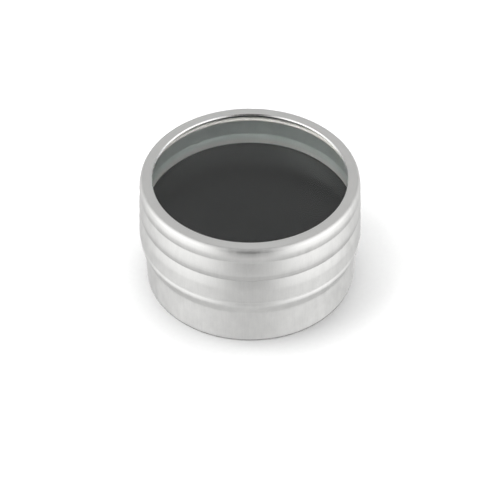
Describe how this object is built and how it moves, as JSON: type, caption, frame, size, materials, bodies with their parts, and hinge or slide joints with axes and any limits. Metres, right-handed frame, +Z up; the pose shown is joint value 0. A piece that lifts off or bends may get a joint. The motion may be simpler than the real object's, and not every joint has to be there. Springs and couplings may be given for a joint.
{
  "type": "rosin cake",
  "caption": "Round cake of dark bow rosin cast in a shallow aluminium tin, under a push-on aluminium lid with a clear window.",
  "frame": {"origin": "centre of the underside, on the surface that the tin stands on", "axes": "+Z up along the tin's axis of symmetry; X and Y are free, because the object is a body of revolution"},
  "size_m": [0.054, 0.054, 0.0304],
  "materials": {
    "tin_aluminium": "satin, fine vertical draw lines on the wall",
    "lid_aluminium": "satin, fine vertical draw lines on the skirt, circular grain on the rim",
    "rosin": "glassy, with a faint haze and fine specks",
    "window": "clear and polished",
    "liner": "matt, fine-celled"
  },
  "bodies": {
    "tin": {"tin_body": "tin_aluminium", "rosin_cake": "rosin"},
    "lid": {"lid_shell": "lid_aluminium", "lid_window": "window", "lid_liner": "liner"}
  },
  "joints": [
    {"name": "lid_lift", "type": "slide", "parent": "tin", "child": "lid", "axis": [0, 0, 1], "range_m": [0, 0.05]}
  ]
}
